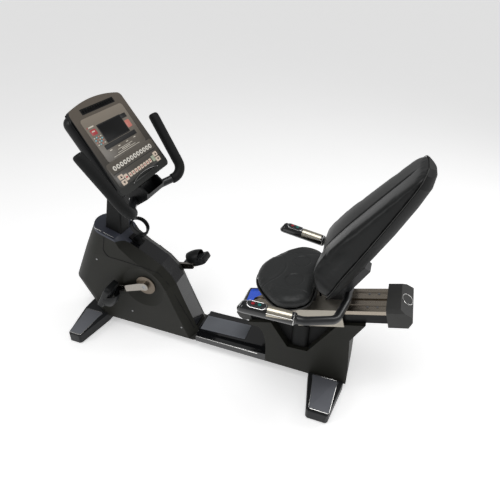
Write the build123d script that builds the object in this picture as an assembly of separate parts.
"""Recumbent exercise bike, millimetres.

X runs along the bike from the console (-X) to the end of the seat rail (+X), -Y is the rider's left,
Z is up and the floor is z = 0. The origin is on the floor under the middle of the bike.
"""
from build123d import *
import os
from math import atan2, cos, pi, radians, sin, tan

# ---------------------------------------------------------------- driving dimensions
HALF_LENGTH = 834.0        # nose of the drive housing to the origin, and origin to the rail's end cap
BODY_HALF = 93.0           # half width of the drive housing and of the rear body
BODY_BASE = 45.0           # underside of the covers
WALL = 4.0                 # moulded cover wall
RUN_GAP = 0.4              # gap between a moving piece and the piece it passes
SEAM = 0.3                 # shadow line between two covers

SPINE_HALF, SPINE_LOW, SPINE_HIGH = 35.0, 50.0, 78.0   # steel tube along the floor

CRANK_X, CRANK_Z = -391.0, 313.0
CRANK_LENGTH = 170.0
CRANK_PITCH = 13.0         # the left pedal stands forward and this much low
AXLE_RADIUS = 10.0
SHAFT_FIT = 0.05           # radial clearance of a shaft that turns in its bore
PULLEY_RADIUS = 105.0

FLYWHEEL_X, FLYWHEEL_Z = -705.0, 232.0
FLYWHEEL_RADIUS = 70.0

RAIL_ANGLE = 16.7          # incline of the seat rail
RAIL_X, RAIL_Z = 675.0, 495.0   # a point of the rail's top surface
RAIL_HALF = 75.0
RAIL_TOP = 18.0            # height of the bright extrusion
RAIL_SKIRT = 43.0          # height of the dark trim below it
RAIL_FRONT, RAIL_REAR = -588.0, 92.0   # ends, measured along the rail from (RAIL_X, RAIL_Z)
TRACK_Y, TRACK_HALF, TRACK_DEEP = 43.0, 13.0, 5.0
SLOT_HALF, SLOT_DEEP = 7.0, 9.0   # middle slot that the seat brake shoe runs in

CONSOLE_X, CONSOLE_Z, CONSOLE_TILT = -356.0, 875.0, 34.0
CONSOLE_HALF_LOW, CONSOLE_HALF_TOP, CONSOLE_HIGH = 184.0, 168.0, 392.0
FACE_THICK, BACK_DEEP = 20.0, 44.0

BACK_X, BACK_Z, RECLINE = 493.0, 730.0, 32.3
SEAT_X, SEAT_Z, SEAT_PITCH = 310.0, 548.0, 8.0
CUSHION_THICK = 46.0

HANDLE_RADIUS = 17.0       # side handlebar tube
HORN_RADIUS = 18.5         # console handlebar tube
FOAM_RADIUS = 23.0

FRONT_SPAN, REAR_SPAN = 277.0, 288.0
FOOT_GAP = 5.0             # cover edge above the floor
FOOT_TOP = 55.0


# ---------------------------------------------------------------- small makers
def side_prism(points, y0, y1):
    """Solid with a side outline of (x, z) points, from y0 to y1."""
    outline = Polyline(*[(x, y0, z) for x, z in points], close=True)
    return extrude(make_face(outline), amount=y1 - y0, dir=(0, 1, 0))


def plan_prism(points, z0, z1):
    """Solid with a plan outline of (x, y) points, from z0 to z1."""
    return extrude(make_face(Polyline(*[(x, y, z0) for x, y in points], close=True)), amount=z1 - z0)


def block(x0, x1, y0, y1, z0, z1):
    return Pos((x0 + x1) / 2, (y0 + y1) / 2, (z0 + z1) / 2) * Box(x1 - x0, y1 - y0, z1 - z0)


def cross_pin(radius, x, z, y0, y1):
    """Round bar that lies along Y."""
    return Pos(x, (y0 + y1) / 2, z) * Rot(90, 0, 0) * Cylinder(radius, y1 - y0)


def cross_ring(outer, inner, x, z, y0, y1):
    return cross_pin(outer, x, z, y0, y1) - cross_pin(inner, x, z, y0 - 1, y1 + 1)


def bent_bar(points, radii, radius):
    """Round bar along straight runs joined by arcs."""
    path = FilletPolyline(*points, radius=radii)
    return sweep((path ^ 0) * Circle(radius), path=path)


def mirrored(points):
    """Path points on one side, then the same points on the other side in reverse."""
    return points + [(x, -y, z) for x, y, z in reversed(points)]


def moved_line(points, distances):
    """Open outline moved to its right by a distance for each point, with mitred corners."""
    result = []
    for i, (x, z) in enumerate(points):
        before = points[max(i - 1, 0)]
        here = points[max(i - 1, 0) + 1]
        after = points[min(i, len(points) - 2) + 1]
        start = points[min(i, len(points) - 2)]
        a = atan2(here[1] - before[1], here[0] - before[0])
        b = atan2(after[1] - start[1], after[0] - start[0])
        half_turn = ((b - a + pi) % (2 * pi) - pi) / 2
        middle = a + half_turn
        reach = distances[i] / cos(half_turn)
        result.append((x + reach * sin(middle), z - reach * cos(middle)))
    return result


def moved_loop(points, distance):
    """Closed outline moved to its right by a distance, with mitred corners."""
    ring = [points[-1]] + list(points) + [points[0]]
    return moved_line(ring, [distance] * len(ring))[1:-1]


def pair_y(solid):
    """The piece and its mirror image on the other side."""
    return [solid, mirror(solid, about=Plane.XZ)]


NODES = {}


def keep(name, *solids):
    """Store a node as one or more separate solids."""
    found = []
    for solid in solids:
        found += list(solid.solids()) if hasattr(solid, "solids") else [solid]
    NODES[name] = found


# ---------------------------------------------------------------- drive housing
CREST = [(-690, 613), (-522, 563), (-490, 537), (-425, 503), (-367, 470), (-310, 437), (-264, 391),
         (-237, 345), (-202, 248), (-142, 95), (-128, 60)]
CREST_HALF = 41.0          # half width of the glossy cover on the crest
BEVEL = 36.0               # how far the shoulders fall from the crest to the side
BEVEL_STEPS = [0, 5, 24] + [BEVEL] * 8
NOSE = [(45, 725, 93), (255, HALF_LENGTH, 93), (450, 742, 93), (616, 660, 83)]   # z, reach, half width
HOUSING_END = -125.0
COLLAR_THICK = 14.0


def nose_section(z, reach, half, inset):
    """Plan of the housing at one height: half-round nose and straight sides."""
    half, front = half - inset, -reach + inset
    arc = ThreePointArc((front + half, -half, z), (front, 0, z), (front + half, half, z))
    sides = Polyline((front + half, half, z), (HOUSING_END, half, z), (HOUSING_END, -half, z),
                     (front + half, -half, z))
    return make_face(arc + sides)


def housing_body(inset, drop=0.0):
    """Outer form of the drive housing, made smaller all round by inset."""
    body = loft([nose_section(z, reach, half, inset) for z, reach, half in NOSE], ruled=True)
    if drop:
        body += extrude(nose_section(NOSE[0][0], NOSE[0][1], NOSE[0][2], inset), amount=-drop)
    crest = moved_line(CREST, [inset] * len(CREST))
    body &= side_prism([(-900, -50)] + [(-900, 700), (crest[0][0], 700)] + crest + [(-128 - inset, -50)],
                       -200, 200)
    shoulder = moved_line(CREST, [inset + step for step in BEVEL_STEPS])
    half = BODY_HALF - inset
    for side in (-1, 1):
        inner = make_face(Polyline(*[(x, side * CREST_HALF, z) for x, z in crest],
                                   (400, side * CREST_HALF, 0), (400, side * CREST_HALF, 900),
                                   (-690, side * CREST_HALF, 900), close=True))
        outer = make_face(Polyline(*[(x, side * half, z) for x, z in shoulder],
                                   (400, side * half, 0), (400, side * half, 900),
                                   (-690, side * half, 900), close=True))
        body -= loft([inner, outer], ruled=True)
    return body


# Each side has a dish round the crank so that the arm passes close to the shell.
DISH_OUTER, DISH_INNER, DISH_DEEP = 115.0, 60.0, 22.0
DISC_RADIUS, DISC_THICK = 52.0, 4.0
AXLE_HOLE = AXLE_RADIUS + 6.0


def dish(side, grow):
    """Cone frustum at the crank, grown outwards for the back of the dish wall."""
    outer_face, floor = side * (BODY_HALF + 1), side * (BODY_HALF - DISH_DEEP - grow)
    slope = (DISH_OUTER - DISH_INNER) / DISH_DEEP
    rim = Plane((CRANK_X, outer_face, CRANK_Z), z_dir=(0, 1, 0)) * Circle(DISH_OUTER + slope + grow)
    base = Plane((CRANK_X, floor, CRANK_Z), z_dir=(0, 1, 0)) * Circle(DISH_INNER + grow)
    return loft([rim, base], ruled=True)


outer_form = housing_body(0)
shell = outer_form - housing_body(WALL, drop=30)
shell -= block(-200, -100, -SPINE_HALF - 1, SPINE_HALF + 1, 0, SPINE_HIGH + 1)
# The mast and its collar pass through the top.
collar_line = [(x, z) for x, z in CREST[:2]] + [(-470, 540)]
collar_band = side_prism([(-900, 700), (-900, 676 - COLLAR_THICK), *[(x, z - COLLAR_THICK) for x, z in
                          collar_line], (-470, 700)], -200, 200)
shell -= collar_band
SPINE_START = -500.0
crest_inner = moved_line(CREST, [WALL] * len(CREST))
SPINE_FOOT = [(-100, 84), (-100, 700)]
cover_band = side_prism([(SPINE_START, 700), (SPINE_START, 545)] +
                        [(SPINE_START, 541)] + crest_inner[2:10] + SPINE_FOOT,
                        -CREST_HALF, CREST_HALF)
for side, name in ((-1, "housing_left"), (1, "housing_right")):
    near, far = sorted((side * SEAM / 2, side * 200))
    half_space = block(-900, 0, near, far, 0, 700)
    part = (shell & half_space) - cover_band - dish(side, 0)
    dish_wall = (dish(side, WALL) - dish(side, 0)) & side_prism([(-700, 100), (-700, 500), (-100, 500),
                                                                (-100, 100)], -BODY_HALF, BODY_HALF)
    dish_wall &= outer_form
    part += dish_wall
    part -= cross_pin(AXLE_HOLE, CRANK_X, CRANK_Z, -120, 120)
    keep(name, part)

spine = outer_form & side_prism([(SPINE_START + SEAM, 700), (SPINE_START + SEAM, 541)] + crest_inner[2:10] +
                                SPINE_FOOT,
                                -CREST_HALF + SEAM, CREST_HALF - SEAM)
spine -= collar_band
keep("spine_cover", spine)

# ---------------------------------------------------------------- mast
MAST_HALF = 37.0           # half width of the mast cover
MAST_POST_HALF = 25.0
mast_profile = [(-607, 560), (-520, 540), (-505, 665), (-460, 858), (-536, 880)]
POST_LINE = [(-612, 78), (-562, 590), (-498, 868)]      # centre line of the steel post
post_profile = ([(x - MAST_POST_HALF, z) for x, z in POST_LINE] +
                [(x + MAST_POST_HALF, z) for x, z in reversed(POST_LINE)])
mast_hole = side_prism(mast_profile, -MAST_HALF - SEAM, MAST_HALF + SEAM)

collar = (outer_form & collar_band & block(-900, -470 - SEAM, -200, 200, 400, 700)) - mast_hole
collar -= block(-900, 0, -200, 200, 612, 700)
keep("mast_collar", collar)

mast = side_prism(mast_profile, -MAST_HALF, MAST_HALF)
mast = fillet(mast.edges().filter_by(lambda e: abs((e @ 0).Y - (e @ 1).Y) < 1 and e.length > 100), 9)
post_space = [(-612 - 26.5, 78), (-562 - 26.5, 590), (-498 - 26.5, 868), (-495, 900), (-498 + 26.5, 868),
              (-562 + 26.5, 590), (-612 + 26.5, 78)]
mast -= side_prism(post_space, -MAST_POST_HALF - 1.5, MAST_POST_HALF + 1.5)
keep("mast_cover", mast)

# ---------------------------------------------------------------- base frame
TUBE = 3.0
FRONT_CROSS_X, REAR_CROSS_X = -716.0, 538.0
CROSS_HALF, CROSS_LOW, CROSS_HIGH = 24.0, 16.0, 44.0
FRONT_LEVEL_Y, REAR_LEVEL_Y = 238.0, 250.0
STUD_RADIUS, PAD_RADIUS = 5.0, 18.0


def box_tube(x0, x1, half, z0, z1):
    """Rectangular tube along X with capped ends left open."""
    return block(x0, x1, -half, half, z0, z1) - block(x0 - 1, x1 + 1, -half + TUBE, half - TUBE,
                                                      z0 + TUBE, z1 - TUBE)


def cross_tube(x, reach, stud_y):
    tube = block(x - CROSS_HALF, x + CROSS_HALF, -reach, reach, CROSS_LOW, CROSS_HIGH)
    tube -= block(x - CROSS_HALF + TUBE, x + CROSS_HALF - TUBE, -reach - 1, reach + 1,
                  CROSS_LOW + TUBE, CROSS_HIGH - TUBE)
    for side in (-1, 1):
        tube -= Pos(x, side * stud_y, CROSS_LOW) * Cylinder(STUD_RADIUS + SHAFT_FIT, 20)
    return tube


WHEEL_X, WHEEL_Z, WHEEL_RADIUS, WHEEL_Y = -760.0, 22.0, 18.0, 60.0
WHEEL_PIN = 4.0
frame = box_tube(-712, 566, SPINE_HALF, SPINE_LOW, SPINE_HIGH)
for cross_x, reach, stud_y in ((FRONT_CROSS_X, FRONT_SPAN - 15, FRONT_LEVEL_Y),
                               (REAR_CROSS_X, REAR_SPAN - 16, REAR_LEVEL_Y)):
    frame += cross_tube(cross_x, reach, stud_y)
    frame += block(cross_x + 6, cross_x + CROSS_HALF, -SPINE_HALF, SPINE_HALF, CROSS_HIGH, SPINE_LOW)
for side in (-1, 1):
    lug = block(WHEEL_X - 10, FRONT_CROSS_X - CROSS_HALF, side * 74 - 2, side * 74 + 2, CROSS_LOW,
                CROSS_LOW + 16)
    frame += lug - cross_pin(WHEEL_PIN + SHAFT_FIT, WHEEL_X, WHEEL_Z, -100, 100)
mast_post = side_prism(post_profile, -MAST_POST_HALF, MAST_POST_HALF)
post_core = ([(x - MAST_POST_HALF + TUBE, z) for x, z in [(-613, 60)] + POST_LINE + [(-494, 890)]] +
             [(x + MAST_POST_HALF - TUBE, z) for x, z in reversed([(-613, 60)] + POST_LINE + [(-494, 890)])])
mast_post -= side_prism(post_core, -MAST_POST_HALF + TUBE, MAST_POST_HALF - TUBE)
SHELL_RADIUS, SHELL_HALF, BEARING_RADIUS = 28.0, 34.0, 21.0
crank_post = block(CRANK_X - 22, CRANK_X + 22, -20, 20, SPINE_HIGH, CRANK_Z - 20)
crank_post -= block(CRANK_X - 19, CRANK_X + 19, -17, 17, SPINE_HIGH - 1, CRANK_Z)
crank_post -= cross_pin(SHELL_RADIUS - 1, CRANK_X, CRANK_Z, -50, 50)
crank_shell = cross_ring(SHELL_RADIUS, BEARING_RADIUS, CRANK_X, CRANK_Z, -SHELL_HALF, SHELL_HALF)
FLYWHEEL_AXLE = 8.0
flywheel_plate = side_prism([(-722, SPINE_HIGH), (-665, SPINE_HIGH), (FLYWHEEL_X + 20, FLYWHEEL_Z + 12),
                             (FLYWHEEL_X - 20, FLYWHEEL_Z + 12)], -SPINE_HALF, -SPINE_HALF + 5)
flywheel_axle = cross_pin(FLYWHEEL_AXLE, FLYWHEEL_X, FLYWHEEL_Z, -SPINE_HALF, 56)


def rail_height(x, v):
    """Height of the line v above the rail's top surface, at x."""
    return RAIL_Z + (x - RAIL_X) * tan(radians(RAIL_ANGLE)) + v / cos(radians(RAIL_ANGLE))


RAIL_LEG = 60.0            # height of the rail's inner legs below its top
POST_Y = 28.0
rail_posts = []
for foot_x, top_x in ((400, 400), (536, 590)):
    outline = [(foot_x - 25, SPINE_HIGH), (foot_x + 25, SPINE_HIGH),
               (top_x + 25, rail_height(top_x + 25, -RAIL_LEG)), (top_x - 25, rail_height(top_x - 25, -RAIL_LEG))]
    core = [(foot_x - 22, SPINE_HIGH - 1), (foot_x + 22, SPINE_HIGH - 1), (top_x + 22, 500), (top_x - 22, 500)]
    rail_posts.append(side_prism(outline, -POST_Y, POST_Y) - side_prism(core, -POST_Y + TUBE, POST_Y - TUBE))
frame += mast_post + crank_post + crank_shell + flywheel_plate + flywheel_axle + rail_posts[0] + rail_posts[1]
keep("base_frame", frame)

keep("crank_bearings", *[cross_ring(BEARING_RADIUS, AXLE_RADIUS + SHAFT_FIT, CRANK_X, CRANK_Z, y, y + 12)
                         for y in (-SHELL_HALF + 1, SHELL_HALF - 13)])

# ---------------------------------------------------------------- foot covers
TREAD_THICK = 1.6


def foot_outline(tip_front, tip_rear, root_front, root_rear, tip, root):
    """Plan of both arms of a foot: (x, y) corners, widest under the body."""
    half = [(root_front, -root), (tip_front, -tip + 8), (tip_front + 9, -tip), (tip_rear - 9, -tip),
            (tip_rear, -tip + 8), (root_rear, -root)]
    return half + [(x, -y) for x, y in reversed(half)]


def foot_cover(outline, under):
    cover = plan_prism(outline, FOOT_GAP, FOOT_TOP)
    top_edges = cover.edges().filter_by(lambda e: abs((e @ 0).Z - FOOT_TOP) < 1e-3 and
                                        abs((e @ 1).Z - FOOT_TOP) < 1e-3)
    cover = chamfer(top_edges, 3)
    cover -= plan_prism(moved_loop(outline, -WALL), 0, FOOT_TOP - WALL)
    cover -= under
    return cover


front_outline = foot_outline(-750, -678, -787, -642, FRONT_SPAN, 90)
rear_outline = foot_outline(490, 588, 457, 622, REAR_SPAN, 95)
housing_shadow = housing_body(-SEAM) + extrude(nose_section(45, 725, 93, -SEAM), amount=-0.4)
spine_space = block(-760, 640, -SPINE_HALF - 1, SPINE_HALF + 1, CROSS_HIGH, SPINE_HIGH + 1)
keep("front_foot_cover", foot_cover(front_outline, housing_shadow + spine_space))
rear_shadow = block(243 - SEAM, 660, -BODY_HALF - SEAM, BODY_HALF + SEAM, BODY_BASE - SEAM, 200)
keep("rear_foot_cover", foot_cover(rear_outline, rear_shadow + spine_space))

front_tread = [(-772, -104), (-744, -262), (-690, -262), (-668, -104)]
rear_tread = [(478, -104), (506, -268), (574, -268), (600, -104)]
treads = []
for outline in (front_tread, rear_tread):
    pad = plan_prism(outline, FOOT_TOP, FOOT_TOP + TREAD_THICK)
    treads += pair_y(pad)
keep("foot_treads", *treads)

for name, x, y in (("front_left", FRONT_CROSS_X, -FRONT_LEVEL_Y), ("front_right", FRONT_CROSS_X, FRONT_LEVEL_Y),
                   ("rear_left", REAR_CROSS_X, -REAR_LEVEL_Y), ("rear_right", REAR_CROSS_X, REAR_LEVEL_Y)):
    pad = Pos(x, y, 4.5) * Cylinder(PAD_RADIUS, 9)
    pad = chamfer(pad.edges().filter_by(GeomType.CIRCLE), 1.5)
    stud = Pos(x, y, 20) * Cylinder(STUD_RADIUS, 24)
    keep("levelling_foot_" + name, pad + stud)

wheel_axle = cross_pin(WHEEL_PIN, WHEEL_X, WHEEL_Z, -76, 76)
wheels = [cross_pin(WHEEL_RADIUS, WHEEL_X, WHEEL_Z, side * WHEEL_Y - 9, side * WHEEL_Y + 9) for side in (-1, 1)]
keep("transport_wheels", wheel_axle + wheels[0] + wheels[1])

# ---------------------------------------------------------------- beam between the housing and the rear body
BEAM_END = 243.0
BEAM_EDGE_FRONT, BEAM_EDGE_REAR = 79.0, 90.0
BEAM_TOP_FRONT, BEAM_TOP_REAR, BEAM_TOP_HALF = 87.0, 106.0, 62.0


beam_start, beam_stop = HOUSING_END + SEAM, BEAM_END - SEAM


def beam_top(x):
    return BEAM_TOP_FRONT + (BEAM_TOP_REAR - BEAM_TOP_FRONT) * (x - beam_start) / (beam_stop - beam_start)


low = [(beam_start, BODY_BASE), (beam_stop, BODY_BASE), (beam_stop, BEAM_EDGE_REAR), (beam_start, BEAM_EDGE_FRONT)]
high = [(beam_start, 60), (beam_stop, 60), (beam_stop, BEAM_TOP_REAR), (beam_start, BEAM_TOP_FRONT)]
beam = side_prism(low, -BODY_HALF, BODY_HALF) + side_prism(high, -BEAM_TOP_HALF, BEAM_TOP_HALF)
low_core = [(beam_start - 1, 0), (beam_stop + 1, 0), (beam_stop + 1, BEAM_EDGE_REAR - WALL),
            (beam_start - 1, BEAM_EDGE_FRONT - WALL)]
high_core = [(beam_start - 1, 60), (beam_stop + 1, 60), (beam_stop + 1, BEAM_TOP_REAR - WALL),
             (beam_start - 1, BEAM_TOP_FRONT - WALL)]
beam -= side_prism(low_core, -BODY_HALF + WALL, BODY_HALF - WALL)
beam -= side_prism(high_core, -BEAM_TOP_HALF + WALL, BEAM_TOP_HALF - WALL)
keep("beam_cover", beam)
PLATE_FRONT, PLATE_REAR, PLATE_HALF = -117.0, 122.0, 48.0
keep("step_tread_plate", side_prism([(PLATE_FRONT, beam_top(PLATE_FRONT)), (PLATE_REAR, beam_top(PLATE_REAR)),
                                     (PLATE_REAR, beam_top(PLATE_REAR) + 2.5),
                                     (PLATE_FRONT, beam_top(PLATE_FRONT) + 2.5)], -PLATE_HALF, PLATE_HALF))

# ---------------------------------------------------------------- seat rail
RAIL = Pos(RAIL_X, 0, RAIL_Z) * Rot(0, -RAIL_ANGLE, 0)    # local x runs up the rail, local z is square to it


def rail_bar(section, u0, u1):
    """Bar along the rail with a cross section of (y, v) points."""
    return extrude(make_face(Polyline(*[(u0, y, v) for y, v in section], close=True)), amount=u1 - u0,
                   dir=(1, 0, 0))


LEG_Y = 56.0
section = [(-RAIL_HALF, 0), (-TRACK_Y - TRACK_HALF, 0), (-TRACK_Y - TRACK_HALF + 3, -TRACK_DEEP),
           (-TRACK_Y + TRACK_HALF - 3, -TRACK_DEEP), (-TRACK_Y + TRACK_HALF, 0), (-SLOT_HALF, 0), (-SLOT_HALF, -SLOT_DEEP), (0, -SLOT_DEEP)]
under = [(-LEG_Y + 5, -RAIL_TOP), (-LEG_Y + 5, -RAIL_LEG), (-LEG_Y, -RAIL_LEG), (-LEG_Y, -RAIL_TOP),
         (-RAIL_HALF, -RAIL_TOP)]
left_half = section[:-1]
outline = left_half + [(-y, v) for y, v in reversed(left_half)] + [(-y, v) for y, v in reversed(under)] + under
rail_body = rail_bar(outline, RAIL_FRONT, RAIL_REAR)
keep("seat_rail", RAIL * rail_body)
trims = [rail_bar([(side * (LEG_Y + SEAM), -RAIL_TOP - SEAM), (side * RAIL_HALF, -RAIL_TOP - SEAM),
                   (side * RAIL_HALF, -RAIL_TOP - RAIL_SKIRT), (side * (RAIL_HALF - 3), -RAIL_TOP - RAIL_SKIRT),
                   (side * (RAIL_HALF - 3), -RAIL_TOP - 3), (side * (LEG_Y + SEAM), -RAIL_TOP - 3)],
                  RAIL_FRONT + 14, RAIL_REAR - 14) for side in (-1, 1)]
keep("rail_side_trims", *[RAIL * trim for trim in trims])

CAP_HALF = 95.0
CAP_LOW = -RAIL_TOP - RAIL_SKIRT - 1.0
cap_space = block(RAIL_FRONT - 40, RAIL_REAR + SEAM, -RAIL_HALF - SEAM, RAIL_HALF + SEAM,
                  -RAIL_TOP - RAIL_SKIRT - SEAM, SEAM)
rear_reach = (HALF_LENGTH - RAIL_X) / cos(radians(RAIL_ANGLE))
rear_profile = [(62, CAP_LOW - 3), (62, 20), (118, 20), (rear_reach - 6, -12), (rear_reach - 8, -36),
                (rear_reach - 27, CAP_LOW - 3)]
rear_cap = side_prism(rear_profile, -CAP_HALF, CAP_HALF)
rear_cap = chamfer(rear_cap.edges().filter_by(Axis.X).group_by(Axis.Z)[-1], 12)
rear_cap = fillet(rear_cap.edges().filter_by(Axis.Y).group_by(Axis.X)[-1], 6)
overhang = (RAIL * rear_cap).bounding_box().max.X - HALF_LENGTH
rear_cap = Pos(-overhang / cos(radians(RAIL_ANGLE)), 0, 0) * rear_cap
keep("rail_rear_cap", RAIL * (rear_cap - cap_space))

FRONT_CAP_HALF = 80.0
front_profile = [(-548, 8), (-590, 8), (-614, -18), (-606, -46), (-590, CAP_LOW), (-548, CAP_LOW)]
front_cap = side_prism(front_profile, -FRONT_CAP_HALF, FRONT_CAP_HALF)
front_cap = chamfer(front_cap.edges().filter_by(Axis.X).group_by(Axis.Z)[-1], 12)
front_cap -= block(RAIL_FRONT - SEAM, -500, -RAIL_HALF - SEAM, RAIL_HALF + SEAM, CAP_LOW - 1, SEAM)
keep("rail_front_cap", RAIL * front_cap)

# ---------------------------------------------------------------- rear body
rail_under = CAP_LOW - SEAM


def under_rail(x):
    return rail_height(x, rail_under)


NOTCH = [(262, under_rail(262)), (345, 182), (439, 188), (556, under_rail(556))]
REAR_OUTLINE = [(154, under_rail(154)), (160, 258), (206, 258), (229, 226), (240, 179), (BEAM_END, 128),
                (BEAM_END, BODY_BASE), (632, BODY_BASE), (628, 150), (613, 320), (664, under_rail(664))]
body_points = REAR_OUTLINE + list(reversed(NOTCH))
rear_body = side_prism(body_points, -BODY_HALF, BODY_HALF)
rear_body -= side_prism(moved_loop(body_points, -WALL), -BODY_HALF + WALL, BODY_HALF - WALL)
rear_body -= block(200, 660, -POST_Y - 40, POST_Y + 40, 0, BODY_BASE + WALL + 1)
rear_body -= block(BEAM_END - 1, BEAM_END + WALL + 1, -BODY_HALF + WALL, BODY_HALF - WALL, 0, 102)
rail_clear = RAIL * block(-700, 200, -LEG_Y - 6, LEG_Y + 6, rail_under - 20, 40)
rear_body -= rail_clear
front_post_space = side_prism([(400 - 25 - SEAM, 0), (400 + 25 + SEAM, 0), (400 + 25 + SEAM, 600),
                               (400 - 25 - SEAM, 600)], -POST_Y - SEAM, POST_Y + SEAM)
rear_body -= front_post_space
keep("rear_body_left", rear_body & block(0, 800, -200, -SEAM / 2, 0, 700))
keep("rear_body_right", rear_body & block(0, 800, SEAM / 2, 200, 0, 700))

CORE_HALF, BULGE_HALF = 58.0, 76.0
core_points = moved_line(NOTCH, [-SEAM] * 4)
post_cover = side_prism(core_points, -CORE_HALF, CORE_HALF)
bulge = side_prism([(354, 190), (436, 190), (436, 318), (354, 318)], -BULGE_HALF, BULGE_HALF)
bulge = fillet(bulge.edges().filter_by(Axis.Z), 22)
post_cover += bulge
post_cover -= rail_clear
post_cover -= front_post_space
slant = [(536 - 25 - SEAM, SPINE_HIGH), (536 + 25 + SEAM, SPINE_HIGH), (590 + 25 + SEAM, 430),
         (590 - 25 - SEAM, 430)]
post_cover -= side_prism(slant, -POST_Y - SEAM, POST_Y + SEAM)
keep("seat_post_cover", post_cover)

# ---------------------------------------------------------------- console
CONSOLE = Pos(CONSOLE_X, 0, CONSOLE_Z) * Rot(0, -CONSOLE_TILT, 0)   # local x points at the rider, z runs up the face


def face_outline(grow, x):
    """Outline of the console in its own plane: tapered sides and an arched top."""
    low, top, arch = CONSOLE_HALF_LOW + grow, CONSOLE_HALF_TOP + grow, CONSOLE_HIGH + grow
    corner = Polyline((x, -top, arch - 24), (x, -low, -8 - grow), (x, low, -8 - grow), (x, top, arch - 24))
    return corner + ThreePointArc((x, top, arch - 24), (x, 0, arch), (x, -top, arch - 24))


def console_slab(grow, x0, x1):
    slab = extrude(make_face(face_outline(grow, x0)), amount=x1 - x0, dir=(1, 0, 0))
    return fillet(slab.edges().filter_by(Axis.X), 24)


WINDOW_HALF, WINDOW_LOW, WINDOW_HIGH = 75.0, 208.0, 282.0
FAN_Z, FAN_HALF = 352.0, 106.0
face = console_slab(0, -FACE_THICK, 0)
face -= block(-FACE_THICK - 1, -3, -CONSOLE_HALF_TOP + 12, CONSOLE_HALF_TOP - 12, 8, CONSOLE_HIGH - 34)
face -= block(-5, 1, -WINDOW_HALF, WINDOW_HALF, WINDOW_LOW, WINDOW_HIGH)
fan_slot = block(-5, 1, -FAN_HALF, FAN_HALF, FAN_Z - 12, FAN_Z + 12)
face -= fan_slot
LEDGE_HALF, LEDGE_Z, LEDGE_OUT = 112.0, 14.0, 16.0
ledge = extrude(make_face(Polyline((0, -LEDGE_HALF, LEDGE_Z), (0, LEDGE_HALF, LEDGE_Z)) +
                          ThreePointArc((0, LEDGE_HALF, LEDGE_Z), (LEDGE_OUT, 0, LEDGE_Z),
                                        (0, -LEDGE_HALF, LEDGE_Z))), amount=5, dir=(0, 0, 1))
face += ledge
keep("console_face", CONSOLE * face)
window = block(-3, 0, -WINDOW_HALF + SEAM, WINDOW_HALF - SEAM, WINDOW_LOW + SEAM, WINDOW_HIGH - SEAM)
keep("display_window", CONSOLE * window)
grille = block(-3, 0, -FAN_HALF + SEAM, FAN_HALF - SEAM, FAN_Z - 12 + SEAM, FAN_Z + 12 - SEAM)
for bar in range(-6, 7):
    grille -= block(-4, 1, bar * 15.5 - 6, bar * 15.5 + 6, FAN_Z - 8, FAN_Z + 8)
keep("fan_grille", CONSOLE * grille)

back_front = make_face(face_outline(-1.5, -FACE_THICK - SEAM))
back_rear = make_face(face_outline(-26, -FACE_THICK - BACK_DEEP))
back_shell = loft([back_rear, back_front], ruled=True)
core_front = make_face(face_outline(-5.5, -FACE_THICK - SEAM + 1))
core_rear = make_face(face_outline(-30, -FACE_THICK - BACK_DEEP + WALL))
back_shell -= loft([core_rear, core_front], ruled=True)
NECK_HALF = 44.0
neck = side_prism([(-548, 850), (-458, 826), (-420, 780), (-380, 780), (-376, 850), (-478, 975), (-532, 905)],
                  -NECK_HALF, NECK_HALF)
neck_core = side_prism([(-556, 840), (-446, 832), (-425, 850), (-470, 925), (-520, 880)], -NECK_HALF + WALL,
                       NECK_HALF - WALL)
console_outer = CONSOLE * loft([back_rear, back_front], ruled=True)
neck = neck - neck_core - console_outer - mast_hole - side_prism(mast_profile, -MAST_HALF - 1, MAST_HALF + 1)
console_back = (CONSOLE * back_shell) + neck
FAN_MOTOR_Z = FAN_Z - 20
fan_hub = CONSOLE * (Pos(-FACE_THICK - BACK_DEEP + 10, 0, FAN_MOTOR_Z - 18) * Rot(0, 90, 0) * Cylinder(3, 24))
console_back += fan_hub

fan_wheel = Pos(-FACE_THICK - 12, 0, FAN_MOTOR_Z - 18) * Rot(0, 90, 0) * Cylinder(9, 16)
for blade in range(7):
    vane = block(-6, 6, -1, 1, 8, 24)
    fan_wheel += Pos(-FACE_THICK - 12, 0, FAN_MOTOR_Z - 18) * Rot(blade * 360 / 7, 0, 0) * Rot(0, 0, 30) * vane
fan_wheel -= Pos(-FACE_THICK - 12, 0, FAN_MOTOR_Z - 18) * Rot(0, 90, 0) * Cylinder(3 + SHAFT_FIT, 60)
keep("fan_impeller", CONSOLE * fan_wheel)

KEY_HIGH = 1.2
keys = []
for i in range(12):
    keys.append(Pos(KEY_HIGH / 2, -132 + i * 24, 106) * Rot(0, 90, 0) * Cylinder(10.5, KEY_HIGH))
for i in range(8):
    keys.append(block(0, KEY_HIGH, -77 + i * 22 - 9, -77 + i * 22 + 9, 42, 62))
for y, z in ((-132, 64), (-132, 39), (132, 64), (132, 39)):
    keys.append(block(0, KEY_HIGH, y - 16, y + 16, z - 11, z + 11))
for y in (-102, 102):
    keys.append(block(0, KEY_HIGH, y - 12, y + 12, 40, 68))
keep("membrane_keys", *[CONSOLE * key for key in keys])

# Accessory tray under the console, open towards the rider.
tray_outer = side_prism([(-418, 830), (-395, 852), (-352, 860), (-320, 832), (-324, 804), (-380, 764),
                         (-410, 778)], -70, 70)
tray_core = side_prism([(-369, 850), (-350, 884), (-306, 856), (-330, 808), (-357, 788)], -60, 60)
neck_space = block(-560, -375.5, -NECK_HALF - SEAM, NECK_HALF + SEAM, 760, 900)
tray = (tray_outer - tray_core) - (CONSOLE * console_slab(1, -90, 1)) - neck_space

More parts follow.
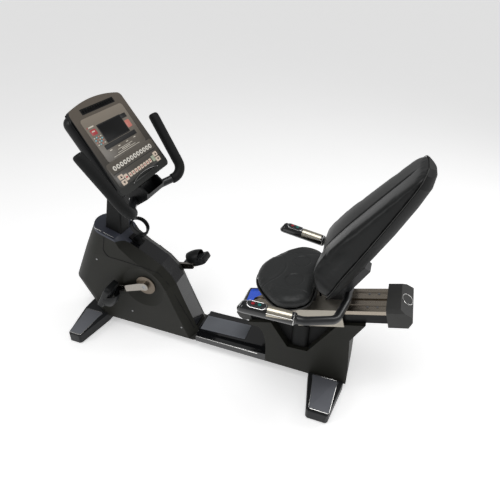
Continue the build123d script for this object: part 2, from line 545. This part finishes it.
# ---------------------------------------------------------------- console handlebar
HORN = [(-461, -263, 1057), (-299, -224, 808), (-370, -120, 784), (-398, -60, 788)]
HORN_BENDS = [58, 50, 30]
horn_path = mirrored(HORN)
horn_bar = bent_bar(horn_path, HORN_BENDS + list(reversed(HORN_BENDS)), HORN_RADIUS)
grip_path = [HORN[0], HORN[1], (-334, -172, 796)]
foam = bent_bar(grip_path, HORN_BENDS[0], FOAM_RADIUS)
foam_tip = Pos(*HORN[0]) * Sphere(FOAM_RADIUS)
keep("horn_bar", horn_bar)
keep("horn_grips", *pair_y((foam + foam_tip) - horn_bar))
keep("console_back", console_back - horn_bar)
keep("accessory_tray", tray - horn_bar)

# ---------------------------------------------------------------- bottle holder on the crest
RING_X, RING_Z, RING_TILT = -432.0, 606.0, 42.0
RING_RADIUS, RING_WALL, RING_HIGH = 47.0, 7.0, 20.0
RING = Pos(RING_X, 0, RING_Z) * Rot(0, RING_TILT, 0)
ring = RING * (Cylinder(RING_RADIUS, RING_HIGH) - Cylinder(RING_RADIUS - RING_WALL, RING_HIGH + 2))
stem = side_prism([(-476, 531), (-448, 519), (-396, 568), (-392, 582), (-404, 584), (-444, 560)], -9, 9)
stem -= RING * Cylinder(RING_RADIUS - 1, 80)
base_pad = side_prism([(-489, 537), (-430, 506.5), (-427, 512), (-486, 543)], -20, 20)
keep("bottle_holder", ring + stem + base_pad)

# ---------------------------------------------------------------- crankset
keep("crank_axle", cross_pin(AXLE_RADIUS, CRANK_X, CRANK_Z, -90, 90))
PULLEY_Y0, PULLEY_Y1 = 40.0, 52.0
drive_pulley = cross_ring(PULLEY_RADIUS, AXLE_RADIUS, CRANK_X, CRANK_Z, PULLEY_Y0, PULLEY_Y1)
for i in range(6):
    a = radians(60 * i + 30)
    drive_pulley -= cross_pin(22, CRANK_X + 62 * cos(a), CRANK_Z + 62 * sin(a), PULLEY_Y0 - 5, PULLEY_Y1 + 5)
keep("drive_pulley", drive_pulley)

DISC_Y = BODY_HALF - DISH_DEEP + 1.5
discs = [cross_ring(DISC_RADIUS, AXLE_RADIUS, CRANK_X, CRANK_Z, min(s * DISC_Y, s * (DISC_Y + DISC_THICK)),
                    max(s * DISC_Y, s * (DISC_Y + DISC_THICK))) for s in (-1, 1)]
keep("crank_discs", *discs)

ARM_Y, ARM_THICK, ARM_OUT = DISC_Y + DISC_THICK, 14.0, 18.0
HUB_RADIUS, TIP_RADIUS = 21.0, 15.0
PEDAL_PIN = 7.0


def crank_arm():
    """Left arm along local +X, its inner face at -ARM_Y: a tapered bar that steps outwards."""
    outline = make_hull([*Circle(HUB_RADIUS).edges(),
                         *(Pos(CRANK_LENGTH, 0, 0) * Circle(TIP_RADIUS)).edges()])
    bar = Rot(90, 0, 0) * extrude(outline, amount=160)
    near, far = ARM_Y, ARM_Y + ARM_OUT
    plan = [(-40, -near), (30, -near), (105, -far), (200, -far), (200, -far - ARM_THICK),
            (100, -far - ARM_THICK), (26, -near - ARM_THICK), (-40, -near - ARM_THICK)]
    bar &= plan_prism(plan, -60, 60)
    bar -= cross_pin(AXLE_RADIUS, 0, 0, -200, 0)
    bar -= cross_pin(PEDAL_PIN, CRANK_LENGTH, 0, -200, 0)
    return bar


CRANK = Pos(CRANK_X, 0, CRANK_Z)
left_arm = CRANK * Rot(0, 180 - CRANK_PITCH, 0) * crank_arm()
right_arm = CRANK * Rot(0, -CRANK_PITCH, 0) * mirror(crank_arm(), about=Plane.XZ)
keep("crank_arms", left_arm, right_arm)

# ---------------------------------------------------------------- pedals
PEDAL_HALF_LONG, PEDAL_HALF_WIDE, PEDAL_HALF_THICK = 72.0, 46.0, 13.0
ARM_FACE = ARM_Y + ARM_OUT + ARM_THICK
PEDAL_INNER = ARM_FACE + RUN_GAP


def pedal():
    """Right pedal at the origin of its pin: tread body, pin and the strap over the toes."""
    y0 = PEDAL_INNER
    y1 = y0 + 2 * PEDAL_HALF_WIDE
    body = block(-PEDAL_HALF_LONG, PEDAL_HALF_LONG, y0, y1, -PEDAL_HALF_THICK, PEDAL_HALF_THICK)
    body = fillet(body.edges().filter_by(Axis.Z), 14)
    for x in (-42, 42):
        body -= block(x - 17, x + 17, y0 + 14, y1 - 14, -30, 30)
    pin = cross_pin(PEDAL_PIN - SHAFT_FIT, 0, 0, ARM_FACE - ARM_THICK + 1, y0 + 1)
    return body + pin, strap_band(y0, y1)


def strap_band(y0, y1):
    """Wide moulded strap that bridges the tread, 60 mm long and 3 mm thick."""
    outer = [(y0, 4), (y0, 32), (y0 + 22, 54), (y1 - 22, 54), (y1, 32), (y1, 4)]
    inner = [(y0 + 3, 4), (y0 + 3, 30.7), (y0 + 23.3, 51), (y1 - 23.3, 51), (y1 - 3, 30.7), (y1 - 3, 4)]
    loop = make_face(Polyline(*[(-30, y, z) for y, z in outer + list(reversed(inner))], close=True))
    return extrude(loop, amount=60, dir=(1, 0, 0))


PEDAL_TILT_LEFT, PEDAL_TILT_RIGHT = 118.0, -28.0
angle = radians(CRANK_PITCH)
left_pin = (CRANK_X - CRANK_LENGTH * cos(angle), CRANK_Z - CRANK_LENGTH * sin(angle))
right_pin = (CRANK_X + CRANK_LENGTH * cos(angle), CRANK_Z + CRANK_LENGTH * sin(angle))
body, strap = pedal()
strap -= body
keep("pedal_right", Pos(right_pin[0], 0, right_pin[1]) * Rot(0, PEDAL_TILT_RIGHT, 0) * (body + strap))
body, strap = [mirror(piece, about=Plane.XZ) for piece in (body, strap)]
keep("pedal_left", Pos(left_pin[0], 0, left_pin[1]) * Rot(0, PEDAL_TILT_LEFT, 0) * (body + strap))

# ---------------------------------------------------------------- flywheel and belt
SMALL_PULLEY = 26.0
flywheel = cross_ring(FLYWHEEL_RADIUS, FLYWHEEL_AXLE + SHAFT_FIT, FLYWHEEL_X, FLYWHEEL_Z, -25, 25)
flywheel += cross_ring(SMALL_PULLEY, FLYWHEEL_AXLE + SHAFT_FIT, FLYWHEEL_X, FLYWHEEL_Z, 25, PULLEY_Y1)
keep("flywheel", flywheel)
BELT = 2.5


def belt_loop(gap):
    """Filled outline round both pulleys, gap outside their rims."""
    big = Pos(CRANK_X, CRANK_Z, 0) * Circle(PULLEY_RADIUS + gap)
    small = Pos(FLYWHEEL_X, FLYWHEEL_Z, 0) * Circle(SMALL_PULLEY + gap)
    loop = extrude(make_hull([*big.edges(), *small.edges()]), amount=PULLEY_Y1 - PULLEY_Y0 - 2)
    return Pos(0, PULLEY_Y1 - 1, 0) * Rot(90, 0, 0) * loop


keep("drive_belt", belt_loop(0.3 + BELT) - belt_loop(0.3))

# ---------------------------------------------------------------- seat carriage
CAR_FRONT, CAR_REAR = -318.0, -118.0        # ends along the rail, seat at its rest place
CAR_SIDE, CAR_WALL, CAR_TOP, CAR_LOW = 100.0, 3.0, 22.0, -66.0
carriage = block(CAR_FRONT, CAR_REAR, -CAR_SIDE, CAR_SIDE, CAR_LOW, CAR_TOP)
carriage -= block(CAR_FRONT - 1, CAR_REAR + 1, -CAR_SIDE + CAR_WALL, CAR_SIDE - CAR_WALL, CAR_LOW - 1,
                  CAR_TOP - CAR_WALL)

ROLLER_RADIUS = 9.0
roller_v = -TRACK_DEEP + ROLLER_RADIUS + 0.05
ROLLER_AXLE = 4.0
for name, u in (("front_rollers", CAR_FRONT + 24), ("rear_rollers", CAR_REAR - 24)):
    axle = Pos(u, 0, roller_v) * Rot(90, 0, 0) * Cylinder(ROLLER_AXLE, 150)
    wheel = [Pos(u, side * TRACK_Y, roller_v) * Rot(90, 0, 0) * Cylinder(ROLLER_RADIUS, 16) for side in (-1, 1)]
    keep(name, RAIL * (axle + wheel[0] + wheel[1]))

# The seat frame: side plates that carry the roller axles, a top plate, the cushion posts and the back bar.
PLATE_Y, FRAME_TOP = 68.0, CAR_TOP - CAR_WALL
seat_frame = block(CAR_FRONT + 8, CAR_REAR - 8, -CAR_SIDE + CAR_WALL, CAR_SIDE - CAR_WALL, FRAME_TOP - 4.5,
                   FRAME_TOP)
for side in (-1, 1):
    plate = block(CAR_FRONT + 8, CAR_REAR - 8, min(side * PLATE_Y, side * (PLATE_Y + 6)),
                  max(side * PLATE_Y, side * (PLATE_Y + 6)), 0.8, FRAME_TOP)
    for u in (CAR_FRONT + 24, CAR_REAR - 24):
        plate -= Pos(u, 0, roller_v) * Rot(90, 0, 0) * Cylinder(ROLLER_AXLE + SHAFT_FIT, 300)
    seat_frame += plate
seat_frame = RAIL * seat_frame
plate_v = FRAME_TOP - 3
LEVER_X, LEVER_Z = 268.0, 462.0
LEVER_PIN = 5.0
front_leg = side_prism([(395, rail_height(395, plate_v)), (440, rail_height(440, plate_v)), (440, 512), (256, 486),
                        (256, 452), (300, 452)], -40, 40)
front_leg += cross_pin(LEVER_PIN, LEVER_X, LEVER_Z, -66, -30)
BACK = Pos(BACK_X, 0, BACK_Z) * Rot(0, RECLINE, 0)      # local z runs up the backrest, local -x faces the rider
back_arm = side_prism([(478, rail_height(478, plate_v)), (545, rail_height(545, plate_v)), (590, 560), (640, 655),
                       (616, 668), (560, 570), (500, 520)], -30, 30)
STEM_RADIUS, STEM_U = 4.2, -223.0
seat_frame += front_leg + back_arm
seat_frame -= RAIL * Pos(STEM_U, 0, FRAME_TOP) * Cylinder(STEM_RADIUS + SHAFT_FIT, 20)
carriage -= Pos(STEM_U, 0, FRAME_TOP) * Cylinder(STEM_RADIUS + 2, 20)
keep("seat_carriage", (RAIL * carriage) - front_leg - back_arm)

SEAT = Pos(SEAT_X, 0, SEAT_Z) * Rot(0, -SEAT_PITCH, 0)
SEAT_OUTLINE = [(-156, 0), (-148, -52), (-118, -108), (-60, -172), (0, -212), (52, -212), (100, -190),
                (128, -150), (134, -80), (128, 0)]


def seat_face(inset, z):
    """Plan of the seat: narrow rounded front, widest behind the middle, rounded rear corners."""
    loop = SEAT_OUTLINE + [(x, -y) for x, y in reversed(SEAT_OUTLINE[1:-1])]
    return make_face(Polyline(*[(x, y, z) for x, y in moved_loop(loop, -inset)], close=True))


cushion_top, cushion_low = 4.0, 4.0 - CUSHION_THICK
cushion = loft([seat_face(0, cushion_low), seat_face(0, cushion_top - 16), seat_face(16, cushion_top)], ruled=True)
keep("seat_cushion", SEAT * cushion)
TRAY_THICK = 14.0
tray_pan = loft([seat_face(34, cushion_low - TRAY_THICK), seat_face(6, cushion_low - SEAM)], ruled=True)
seat_tray = (SEAT * tray_pan)
keep("seat_tray", seat_tray - front_leg)

# ---------------------------------------------------------------- backrest
# Stations up the backrest: height, half width, front at the edge, seam with the shell, back of the shell.
STATIONS = [(-150, 128, -92, -100, -128), (-128, 150, -12, -88, -132), (-75, 166, 27, -78, -128),
            (-20, 158, 39, -70, -122), (90, 152, 38, -58, -112), (220, 141, 27, -43, -98), (350, 127, 13, -27, -78),
            (430, 118, 4, -15, -60), (468, 90, 0, -8, -40), (482, 50, -3, -6, -24)]


def back_section(s, half, front, rear):
    """Section across the backrest at height s: local x is minus the forward distance."""
    return make_face(Polyline((-front, -half, s), (-front, half, s), (-rear, half, s), (-rear, -half, s),
                              close=True))


backrest = loft([back_section(s, half, front, seam) for s, half, front, seam, _ in STATIONS], ruled=True)
keep("backrest_cushion", BACK * backrest)


def shell_section(s, half, front, rear):
    arc = ThreePointArc((-front, -half, s), (-rear, 0, s), (-front, half, s))
    return make_face(arc + Line((-front, half, s), (-front, -half, s)))


shell_sections = [shell_section(s, half, seam - SEAM, back - 14) for s, half, _, seam, back in STATIONS]
back_shell = BACK * loft(shell_sections, ruled=True)
keep("backrest_shell", back_shell - back_arm)

# ---------------------------------------------------------------- side handlebar
HANDLE = [(205, -297, 566), (438, -272, 545), (548, -190, 512), (572, -70, 512)]
HANDLE_BENDS = [60, 55, 40]
handle_path = mirrored(HANDLE)
bends = [HANDLE_BENDS[0], HANDLE_BENDS[1], HANDLE_BENDS[2], HANDLE_BENDS[2], HANDLE_BENDS[1], HANDLE_BENDS[0]]
side_bar = bent_bar(handle_path, bends, HANDLE_RADIUS)
keep("side_handlebar", side_bar)
keep("seat_frame", seat_frame - side_bar)


def along_grip(start, stop, radius_y, radius_z, drop=0.0):
    """Rounded bar round the straight part of the left handle, between two shares of its length."""
    a, b = Vector(*HANDLE[0]), Vector(*HANDLE[1])
    direction = (b - a).normalized()
    plane = Plane(a + direction * start - Vector(0, 0, drop), x_dir=Vector(0, 0, 1), z_dir=direction)
    return extrude(plane * Ellipse(radius_z, radius_y), amount=stop - start)


grip = along_grip(-16, 205, 24, 27) - along_grip(-1, 210, HANDLE_RADIUS, HANDLE_RADIUS)
PLATE_START, PLATE_STOP = 92.0, 186.0
plate_zone = along_grip(PLATE_START, PLATE_STOP, 25.2, 28.2)
pulse = (plate_zone - along_grip(PLATE_START - 1, PLATE_STOP + 1, 24.1, 27.1)) & block(150, 460, -330, -240, 560, 640)
keep("pulse_plates", *pair_y(pulse))

BUTTON_RADIUS, BUTTON_TRAVEL = 7.0, 2.5
button_spots = {"red": 36.0, "green": 62.0}
grip_solid = grip
for spot in button_spots.values():
    a = Vector(*HANDLE[0])
    direction = (Vector(*HANDLE[1]) - a).normalized()
    centre = a + direction * spot
    grip_solid -= Pos(centre.X, centre.Y, centre.Z + 22) * Cylinder(BUTTON_RADIUS + RUN_GAP, 12)
keep("grip_housings", *pair_y(grip_solid))
for side, side_name in ((-1, "left"), (1, "right")):
    for colour, spot in button_spots.items():
        a = Vector(*HANDLE[0])
        direction = (Vector(*HANDLE[1]) - a).normalized()
        centre = a + direction * spot
        button = Pos(centre.X, centre.Y, centre.Z + 25.5) * Cylinder(BUTTON_RADIUS, 7)
        button = chamfer(button.edges().filter_by(GeomType.CIRCLE).group_by(Axis.Z)[-1], 1)
        if side > 0:
            button = mirror(button, about=Plane.XZ)
        keep("button_%s_%s" % (colour, side_name), button)

# ---------------------------------------------------------------- seat lever and the brake shoe it lifts
lever = side_prism([(268, 472), (278, 460), (200, 424), (172, 400), (156, 356), (130, 358), (150, 430), (200, 450)],
                   -62, -44)
lever += cross_pin(12, LEVER_X, LEVER_Z, -62, -44)
keep("seat_lever", lever - cross_pin(LEVER_PIN + SHAFT_FIT, LEVER_X, LEVER_Z, -70, 0))
SHOE_GAP = 0.1
shoe = block(STEM_U - 28, STEM_U + 28, -SLOT_HALF + 0.5, SLOT_HALF - 0.5, -SLOT_DEEP + SHOE_GAP, -1)
shoe += Pos(STEM_U, 0, 18) * Cylinder(STEM_RADIUS, 40)
keep("brake_shoe", RAIL * shoe)

# ---------------------------------------------------------------- screws
screws = []
for u in (-20, 20):
    for side in (-1, 1):
        screws.append(RAIL * (Pos(u, side * TRACK_Y, -TRACK_DEEP + 1) * Cylinder(5, 2)))
for x, z in ((-640, 150), (-640, 420), (-200, 110), (-480, 130)):
    for side in (-1, 1):
        screws.append(cross_pin(4.5, x, z, min(side * BODY_HALF, side * (BODY_HALF + 1.2)),
                                max(side * BODY_HALF, side * (BODY_HALF + 1.2))))
keep("cover_screws", *screws)

# ---------------------------------------------------------------- write the pieces
os.makedirs("parts", exist_ok=True)
for name, solids in NODES.items():
    export_step(Compound(children=solids) if len(solids) > 1 else solids[0], "parts/" + name + ".step")
print(len(NODES), "nodes")
